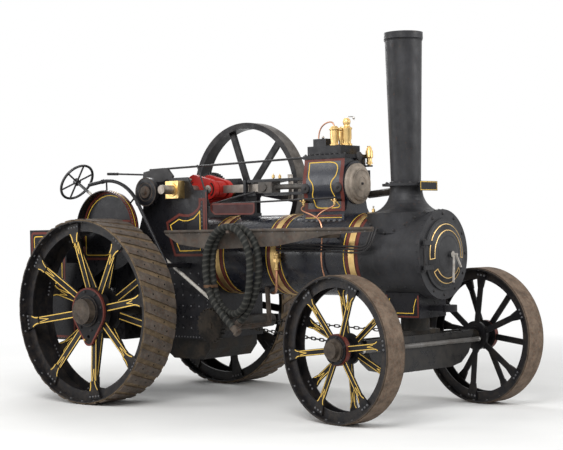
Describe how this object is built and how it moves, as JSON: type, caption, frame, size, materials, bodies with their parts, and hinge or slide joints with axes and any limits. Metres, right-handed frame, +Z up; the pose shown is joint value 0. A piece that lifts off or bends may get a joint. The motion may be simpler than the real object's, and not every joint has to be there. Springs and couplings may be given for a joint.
{
  "type": "steam traction engine",
  "caption": "Single-crank steam traction engine on spoked iron wheels, with a tall chimney, side flywheel, chain steering and rear tender.",
  "frame": {"origin": "on the ground under the middle of the bounding box as it stands, with its front axle turned 9 degrees to the right", "axes": "+X forward, +Y to the engine's left, +Z up"},
  "size_m": [4.9552, 2.284, 3.172],
  "materials": {
    "black_paint": "satin",
    "blue_black_paint": "gloss",
    "smokebox_black": "satin",
    "maroon_paint": "gloss",
    "red_paint": "gloss",
    "worn_iron": "rough",
    "bare_steel": "satin",
    "brass": "polished",
    "hose_rubber": "ribbed"
  },
  "bodies": {
    "chassis": {"boiler_barrel": "blue_black_paint", "firebox": "black_paint", "ashpan": "black_paint", "smokebox": "smokebox_black", "chimney_base": "smokebox_black", "chimney": "smokebox_black", "number_plate": "black_paint", "hornplates": "black_paint", "cylinder_block": "blue_black_paint", "cylinder_cover": "bare_steel", "valve_chest": "black_paint", "safety_valves": "brass", "slide_bars": "bare_steel", "crosshead": "bare_steel", "connecting_rod": "bare_steel", "valve_gear": "black_paint", "crank_bearings": "brass", "gear_shafts": "black_paint", "rear_axle": "black_paint", "perch_bracket": "black_paint", "tender_tank": "black_paint", "tender_body": "black_paint", "splashers": "black_paint", "steering_bracket": "black_paint", "steering_chains": "black_paint", "side_tray": "worn_iron", "suction_hose": "hose_rubber", "control_rods": "black_paint", "handrail": "black_paint", "pipework": "brass"},
    "wheel_rear_right": {"wheel_rear_right_rim": "worn_iron", "wheel_rear_right_spokes": "black_paint", "wheel_rear_right_cap": "maroon_paint"},
    "wheel_rear_left": {"wheel_rear_left_rim": "worn_iron", "wheel_rear_left_spokes": "black_paint", "wheel_rear_left_cap": "maroon_paint"},
    "wheel_front_right": {"wheel_front_right_rim": "worn_iron", "wheel_front_right_spokes": "black_paint", "wheel_front_right_cap": "maroon_paint"},
    "wheel_front_left": {"wheel_front_left_rim": "worn_iron", "wheel_front_left_spokes": "black_paint", "wheel_front_left_cap": "maroon_paint"},
    "front_axle": {"front_axle": "black_paint", "spud_pan": "black_paint"},
    "crankshaft": {"crankshaft": "bare_steel", "crank_webs": "red_paint", "flywheel": "black_paint"},
    "steering_wheel": {"steering_wheel": "black_paint"},
    "chain_barrel": {"chain_barrel": "black_paint"},
    "smokebox_door": {"smokebox_door": "smokebox_black"},
    "fire_door": {"fire_door": "black_paint"}
  },
  "joints": [
    {"name": "rear_right_roll", "type": "hinge", "parent": "chassis", "child": "wheel_rear_right", "pos_m": [-1.11259, -0.838, 0.838], "axis": [0, 1, 0], "continuous": true},
    {"name": "rear_left_roll", "type": "hinge", "parent": "chassis", "child": "wheel_rear_left", "pos_m": [-1.11259, 0.838, 0.838], "axis": [0, 1, 0], "continuous": true},
    {"name": "steer", "type": "hinge", "parent": "chassis", "child": "front_axle", "pos_m": [1.74541, 0, 0.8], "axis": [0, 0, 1], "range_deg": [-18, 36], "deforming": ["steering_chains"]},
    {"name": "front_right_roll", "type": "hinge", "parent": "front_axle", "child": "wheel_front_right", "pos_m": [1.61244, -0.83954, 0.591], "axis": [0.1564, 0.9877, 0], "continuous": true},
    {"name": "front_left_roll", "type": "hinge", "parent": "front_axle", "child": "wheel_front_left", "pos_m": [1.87838, 0.83954, 0.591], "axis": [0.1564, 0.9877, 0], "continuous": true},
    {"name": "crank_turn", "type": "hinge", "parent": "chassis", "child": "crankshaft", "pos_m": [-0.58559, 0, 1.928], "axis": [0, 1, 0], "continuous": true},
    {"name": "steering_wheel_turn", "type": "hinge", "parent": "chassis", "child": "steering_wheel", "pos_m": [-1.81459, -0.5, 2.041], "axis": [0.8376, 0.0125, -0.5462], "range_deg": [-4000, 4000]},
    {"name": "chain_barrel_turn", "type": "hinge", "parent": "chassis", "child": "chain_barrel", "pos_m": [-0.11259, 0, 0.7], "axis": [0, 1, 0], "range_deg": [-340, 340]},
    {"name": "smokebox_door_swing", "type": "hinge", "parent": "chassis", "child": "smokebox_door", "pos_m": [2.06141, -0.322, 1.32], "axis": [0, 0, -1], "range_deg": [0, 100]},
    {"name": "fire_door_swing", "type": "hinge", "parent": "chassis", "child": "fire_door", "pos_m": [-0.93259, -0.16, 1.19], "axis": [0, 0, 1], "range_deg": [0, 100]}
  ],
  "couplings": [
    {"joint": "steering_wheel_turn", "follows": "steer", "ratio": 104.52},
    {"joint": "chain_barrel_turn", "follows": "steer", "ratio": 8.7097}
  ]
}
